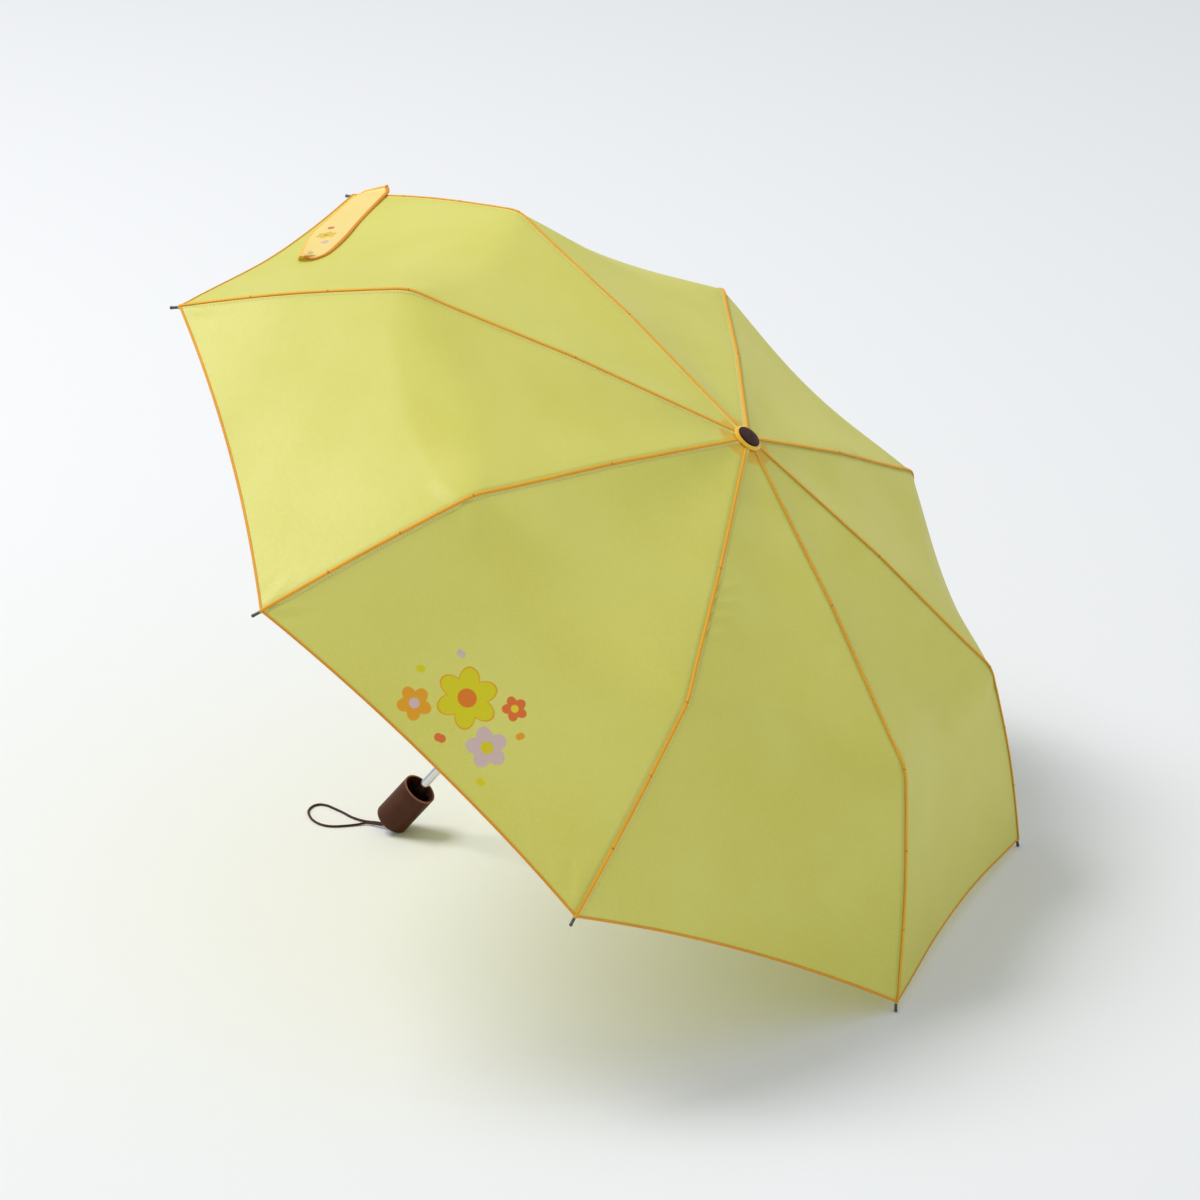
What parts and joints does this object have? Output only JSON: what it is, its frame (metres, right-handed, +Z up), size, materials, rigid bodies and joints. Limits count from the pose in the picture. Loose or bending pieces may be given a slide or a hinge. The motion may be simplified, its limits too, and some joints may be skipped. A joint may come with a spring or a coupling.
{
  "type": "folding umbrella",
  "caption": "Compact three-fold hand umbrella for a child, open, with hinged ribs, sliding runner, telescoping shaft, cup handle and wrist loop.",
  "frame": {"origin": "on the floor under the middle of the umbrella's bounding box, without its wrist loop", "axes": "+Z up from the floor; the shaft runs from the handle towards +X and up; +Y across the shaft"},
  "size_m": [0.6762, 0.8742, 0.5783],
  "materials": {
    "canopy_cloth": "woven, pale yellow",
    "strap_cloth": "woven, cream yellow",
    "patch_cloth": "woven, orange yellow",
    "loop_cord": "braided, near black",
    "rib_steel": "plated",
    "ring_steel": "plain wire",
    "tube_chrome": "polished",
    "cap_plastic": "glossy",
    "washer_plastic": "glossy",
    "notch_plastic": "satin",
    "button_plastic": "glossy",
    "handle_plastic": "glossy",
    "socket_plastic": "satin",
    "snap_plastic": "glossy"
  },
  "bodies": {
    "crown": {"top_cap": "cap_plastic", "cap_washer": "washer_plastic", "crown_notch": "notch_plastic", "crown_ring": "ring_steel", "hub_patch": "patch_cloth", "upper_tube": "tube_chrome", "upper_ferrule": "ring_steel", "tie_strap": "strap_cloth", "strap_snap": "snap_plastic", "panel_1": "canopy_cloth", "panel_2": "canopy_cloth", "panel_3": "canopy_cloth", "panel_4": "canopy_cloth", "panel_5": "canopy_cloth", "panel_6": "canopy_cloth", "panel_7": "canopy_cloth", "panel_8": "canopy_cloth"},
    "runner": {"runner": "notch_plastic", "runner_ring": "ring_steel", "button_spring": "ring_steel"},
    "release_button": {"release_button": "button_plastic"},
    "middle_tube": {"middle_tube": "tube_chrome", "middle_ferrule": "ring_steel"},
    "lower_tube": {"lower_tube": "tube_chrome", "handle_cup": "handle_plastic", "handle_socket": "socket_plastic", "loop_anchor": "socket_plastic", "wrist_loop": "loop_cord"},
    "top_rib_1": {"top_rib_1": "rib_steel"},
    "middle_rib_1": {"middle_rib_1": "rib_steel"},
    "outer_rib_1": {"outer_rib_1": "rib_steel"},
    "stretcher_1": {"stretcher_1": "rib_steel"},
    "top_rib_2": {"top_rib_2": "rib_steel"},
    "middle_rib_2": {"middle_rib_2": "rib_steel"},
    "outer_rib_2": {"outer_rib_2": "rib_steel"},
    "stretcher_2": {"stretcher_2": "rib_steel"},
    "top_rib_3": {"top_rib_3": "rib_steel"},
    "middle_rib_3": {"middle_rib_3": "rib_steel"},
    "outer_rib_3": {"outer_rib_3": "rib_steel"},
    "stretcher_3": {"stretcher_3": "rib_steel"},
    "top_rib_4": {"top_rib_4": "rib_steel"},
    "middle_rib_4": {"middle_rib_4": "rib_steel"},
    "outer_rib_4": {"outer_rib_4": "rib_steel"},
    "stretcher_4": {"stretcher_4": "rib_steel"},
    "top_rib_5": {"top_rib_5": "rib_steel"},
    "middle_rib_5": {"middle_rib_5": "rib_steel"},
    "outer_rib_5": {"outer_rib_5": "rib_steel"},
    "stretcher_5": {"stretcher_5": "rib_steel"},
    "top_rib_6": {"top_rib_6": "rib_steel"},
    "middle_rib_6": {"middle_rib_6": "rib_steel"},
    "outer_rib_6": {"outer_rib_6": "rib_steel"},
    "stretcher_6": {"stretcher_6": "rib_steel"},
    "top_rib_7": {"top_rib_7": "rib_steel"},
    "middle_rib_7": {"middle_rib_7": "rib_steel"},
    "outer_rib_7": {"outer_rib_7": "rib_steel"},
    "stretcher_7": {"stretcher_7": "rib_steel"},
    "top_rib_8": {"top_rib_8": "rib_steel"},
    "middle_rib_8": {"middle_rib_8": "rib_steel"},
    "outer_rib_8": {"outer_rib_8": "rib_steel"},
    "stretcher_8": {"stretcher_8": "rib_steel"}
  },
  "joints": [
    {"name": "runner_slide", "type": "slide", "parent": "crown", "child": "runner", "axis": [-0.6348, 0, -0.7727], "range_m": [0, 0.11149], "deforming": ["panel_1", "panel_2", "panel_3", "panel_4", "panel_5", "panel_6", "panel_7", "panel_8", "hub_patch", "tie_strap", "strap_snap"]},
    {"name": "middle_tube_slide", "type": "slide", "parent": "crown", "child": "middle_tube", "axis": [0.6348, 0, 0.7727], "range_m": [0, 0.15]},
    {"name": "lower_tube_slide", "type": "slide", "parent": "middle_tube", "child": "lower_tube", "axis": [0.6348, 0, 0.7727], "range_m": [0, 0.15]},
    {"name": "release_button_press", "type": "slide", "parent": "runner", "child": "release_button", "axis": [-0.7727, 0, 0.6348], "range_m": [0, 0.0012], "stiffness_N_per_m": 900, "springref_m": -0.001, "deforming": ["button_spring"]},
    {"name": "top_rib_hinge_1", "type": "hinge", "parent": "crown", "child": "top_rib_1", "pos_m": [0.12157, -0.00344, 0.43912], "axis": [0.2957, -0.9239, -0.2429], "range_deg": [0, 80.5]},
    {"name": "knuckle_hinge_1", "type": "hinge", "parent": "top_rib_1", "child": "middle_rib_1", "pos_m": [-0.00901, -0.06465, 0.51294], "axis": [-0.2957, 0.9239, 0.2429], "range_deg": [0, 182.5]},
    {"name": "knee_hinge_1", "type": "hinge", "parent": "middle_rib_1", "child": "outer_rib_1", "pos_m": [-0.13978, -0.12283, 0.57504], "axis": [0.2957, -0.9239, -0.2429], "range_deg": [0, 148.9]},
    {"name": "stretcher_hinge_1", "type": "hinge", "parent": "runner", "child": "stretcher_1", "pos_m": [0.08315, -0.00344, 0.39236], "axis": [-0.2957, 0.9239, 0.2429], "range_deg": [0, 59.05]},
    {"name": "top_rib_hinge_2", "type": "hinge", "parent": "crown", "child": "top_rib_2", "pos_m": [0.12533, -0.00831, 0.43603], "axis": [0.7139, -0.3827, -0.5865], "range_deg": [0, 80.5]},
    {"name": "knuckle_hinge_2", "type": "hinge", "parent": "top_rib_2", "child": "middle_rib_2", "pos_m": [0.06163, -0.15607, 0.45491], "axis": [-0.7139, 0.3827, 0.5865], "range_deg": [0, 182.5]},
    {"name": "knee_hinge_2", "type": "hinge", "parent": "middle_rib_2", "child": "outer_rib_2", "pos_m": [-0.00556, -0.29653, 0.46478], "axis": [0.7139, -0.3827, -0.5865], "range_deg": [0, 148.9]},
    {"name": "stretcher_hinge_2", "type": "hinge", "parent": "runner", "child": "stretcher_2", "pos_m": [0.08692, -0.00831, 0.38927], "axis": [-0.7139, 0.3827, 0.5865], "range_deg": [0, 59.05]},
    {"name": "top_rib_hinge_3", "type": "hinge", "parent": "crown", "child": "top_rib_3", "pos_m": [0.13065, -0.00831, 0.43166], "axis": [0.7139, 0.3827, -0.5865], "range_deg": [0, 80.5]},
    {"name": "knuckle_hinge_3", "type": "hinge", "parent": "top_rib_3", "child": "middle_rib_3", "pos_m": [0.16153, -0.15607, 0.37283], "axis": [-0.7139, -0.3827, 0.5865], "range_deg": [0, 182.5]},
    {"name": "knee_hinge_3", "type": "hinge", "parent": "middle_rib_3", "child": "outer_rib_3", "pos_m": [0.18426, -0.29653, 0.30884], "axis": [0.7139, 0.3827, -0.5865], "range_deg": [0, 148.9]},
    {"name": "stretcher_hinge_3", "type": "hinge", "parent": "runner", "child": "stretcher_3", "pos_m": [0.09224, -0.00831, 0.3849], "axis": [-0.7139, -0.3827, 0.5865], "range_deg": [0, 59.05]},
    {"name": "top_rib_hinge_4", "type": "hinge", "parent": "crown", "child": "top_rib_4", "pos_m": [0.13442, -0.00344, 0.42857], "axis": [0.2957, 0.9239, -0.2429], "range_deg": [0, 80.5]},
    {"name": "knuckle_hinge_4", "type": "hinge", "parent": "top_rib_4", "child": "middle_rib_4", "pos_m": [0.23218, -0.06465, 0.3148], "axis": [-0.2957, -0.9239, 0.2429], "range_deg": [0, 182.5]},
    {"name": "knee_hinge_4", "type": "hinge", "parent": "middle_rib_4", "child": "outer_rib_4", "pos_m": [0.31848, -0.12283, 0.19857], "axis": [0.2957, 0.9239, -0.2429], "range_deg": [0, 148.9]},
    {"name": "stretcher_hinge_4", "type": "hinge", "parent": "runner", "child": "stretcher_4", "pos_m": [0.096, -0.00344, 0.38181], "axis": [-0.2957, -0.9239, 0.2429], "range_deg": [0, 59.05]},
    {"name": "top_rib_hinge_5", "type": "hinge", "parent": "crown", "child": "top_rib_5", "pos_m": [0.13442, 0.00344, 0.42857], "axis": [-0.2957, 0.9239, 0.2429], "range_deg": [0, 80.5]},
    {"name": "knuckle_hinge_5", "type": "hinge", "parent": "top_rib_5", "child": "middle_rib_5", "pos_m": [0.23218, 0.06465, 0.3148], "axis": [0.2957, -0.9239, -0.2429], "range_deg": [0, 182.5]},
    {"name": "knee_hinge_5", "type": "hinge", "parent": "middle_rib_5", "child": "outer_rib_5", "pos_m": [0.31848, 0.12283, 0.19857], "axis": [-0.2957, 0.9239, 0.2429], "range_deg": [0, 148.9]},
    {"name": "stretcher_hinge_5", "type": "hinge", "parent": "runner", "child": "stretcher_5", "pos_m": [0.096, 0.00344, 0.38181], "axis": [0.2957, -0.9239, -0.2429], "range_deg": [0, 59.05]},
    {"name": "top_rib_hinge_6", "type": "hinge", "parent": "crown", "child": "top_rib_6", "pos_m": [0.13065, 0.00831, 0.43166], "axis": [-0.7139, 0.3827, 0.5865], "range_deg": [0, 80.5]},
    {"name": "knuckle_hinge_6", "type": "hinge", "parent": "top_rib_6", "child": "middle_rib_6", "pos_m": [0.16153, 0.15607, 0.37283], "axis": [0.7139, -0.3827, -0.5865], "range_deg": [0, 182.5]},
    {"name": "knee_hinge_6", "type": "hinge", "parent": "middle_rib_6", "child": "outer_rib_6", "pos_m": [0.18426, 0.29653, 0.30884], "axis": [-0.7139, 0.3827, 0.5865], "range_deg": [0, 148.9]},
    {"name": "stretcher_hinge_6", "type": "hinge", "parent": "runner", "child": "stretcher_6", "pos_m": [0.09224, 0.00831, 0.3849], "axis": [0.7139, -0.3827, -0.5865], "range_deg": [0, 59.05]},
    {"name": "top_rib_hinge_7", "type": "hinge", "parent": "crown", "child": "top_rib_7", "pos_m": [0.12533, 0.00831, 0.43603], "axis": [-0.7139, -0.3827, 0.5865], "range_deg": [0, 80.5]},
    {"name": "knuckle_hinge_7", "type": "hinge", "parent": "top_rib_7", "child": "middle_rib_7", "pos_m": [0.06163, 0.15607, 0.45491], "axis": [0.7139, 0.3827, -0.5865], "range_deg": [0, 182.5]},
    {"name": "knee_hinge_7", "type": "hinge", "parent": "middle_rib_7", "child": "outer_rib_7", "pos_m": [-0.00556, 0.29653, 0.46478], "axis": [-0.7139, -0.3827, 0.5865], "range_deg": [0, 148.9]},
    {"name": "stretcher_hinge_7", "type": "hinge", "parent": "runner", "child": "stretcher_7", "pos_m": [0.08692, 0.00831, 0.38927], "axis": [0.7139, 0.3827, -0.5865], "range_deg": [0, 59.05]},
    {"name": "top_rib_hinge_8", "type": "hinge", "parent": "crown", "child": "top_rib_8", "pos_m": [0.12157, 0.00344, 0.43912], "axis": [-0.2957, -0.9239, 0.2429], "range_deg": [0, 80.5]},
    {"name": "knuckle_hinge_8", "type": "hinge", "parent": "top_rib_8", "child": "middle_rib_8", "pos_m": [-0.00901, 0.06465, 0.51294], "axis": [0.2957, 0.9239, -0.2429], "range_deg": [0, 182.5]},
    {"name": "knee_hinge_8", "type": "hinge", "parent": "middle_rib_8", "child": "outer_rib_8", "pos_m": [-0.13978, 0.12283, 0.57504], "axis": [-0.2957, -0.9239, 0.2429], "range_deg": [0, 148.9]},
    {"name": "stretcher_hinge_8", "type": "hinge", "parent": "runner", "child": "stretcher_8", "pos_m": [0.08315, 0.00344, 0.39236], "axis": [0.2957, 0.9239, -0.2429], "range_deg": [0, 59.05]}
  ],
  "couplings": [
    {"joint": "top_rib_hinge_1", "follows": "runner_slide", "rad_per_m": 12.603},
    {"joint": "knuckle_hinge_1", "follows": "runner_slide", "rad_per_m": 28.571},
    {"joint": "knee_hinge_1", "follows": "runner_slide", "rad_per_m": 23.311},
    {"joint": "stretcher_hinge_1", "follows": "runner_slide", "rad_per_m": 9.2449},
    {"joint": "top_rib_hinge_2", "follows": "runner_slide", "rad_per_m": 12.603},
    {"joint": "knuckle_hinge_2", "follows": "runner_slide", "rad_per_m": 28.571},
    {"joint": "knee_hinge_2", "follows": "runner_slide", "rad_per_m": 23.311},
    {"joint": "stretcher_hinge_2", "follows": "runner_slide", "rad_per_m": 9.2449},
    {"joint": "top_rib_hinge_3", "follows": "runner_slide", "rad_per_m": 12.603},
    {"joint": "knuckle_hinge_3", "follows": "runner_slide", "rad_per_m": 28.571},
    {"joint": "knee_hinge_3", "follows": "runner_slide", "rad_per_m": 23.311},
    {"joint": "stretcher_hinge_3", "follows": "runner_slide", "rad_per_m": 9.2449},
    {"joint": "top_rib_hinge_4", "follows": "runner_slide", "rad_per_m": 12.603},
    {"joint": "knuckle_hinge_4", "follows": "runner_slide", "rad_per_m": 28.571},
    {"joint": "knee_hinge_4", "follows": "runner_slide", "rad_per_m": 23.311},
    {"joint": "stretcher_hinge_4", "follows": "runner_slide", "rad_per_m": 9.2449},
    {"joint": "top_rib_hinge_5", "follows": "runner_slide", "rad_per_m": 12.603},
    {"joint": "knuckle_hinge_5", "follows": "runner_slide", "rad_per_m": 28.571},
    {"joint": "knee_hinge_5", "follows": "runner_slide", "rad_per_m": 23.311},
    {"joint": "stretcher_hinge_5", "follows": "runner_slide", "rad_per_m": 9.2449},
    {"joint": "top_rib_hinge_6", "follows": "runner_slide", "rad_per_m": 12.603},
    {"joint": "knuckle_hinge_6", "follows": "runner_slide", "rad_per_m": 28.571},
    {"joint": "knee_hinge_6", "follows": "runner_slide", "rad_per_m": 23.311},
    {"joint": "stretcher_hinge_6", "follows": "runner_slide", "rad_per_m": 9.2449},
    {"joint": "top_rib_hinge_7", "follows": "runner_slide", "rad_per_m": 12.603},
    {"joint": "knuckle_hinge_7", "follows": "runner_slide", "rad_per_m": 28.571},
    {"joint": "knee_hinge_7", "follows": "runner_slide", "rad_per_m": 23.311},
    {"joint": "stretcher_hinge_7", "follows": "runner_slide", "rad_per_m": 9.2449},
    {"joint": "top_rib_hinge_8", "follows": "runner_slide", "rad_per_m": 12.603},
    {"joint": "knuckle_hinge_8", "follows": "runner_slide", "rad_per_m": 28.571},
    {"joint": "knee_hinge_8", "follows": "runner_slide", "rad_per_m": 23.311},
    {"joint": "stretcher_hinge_8", "follows": "runner_slide", "rad_per_m": 9.2449}
  ]
}
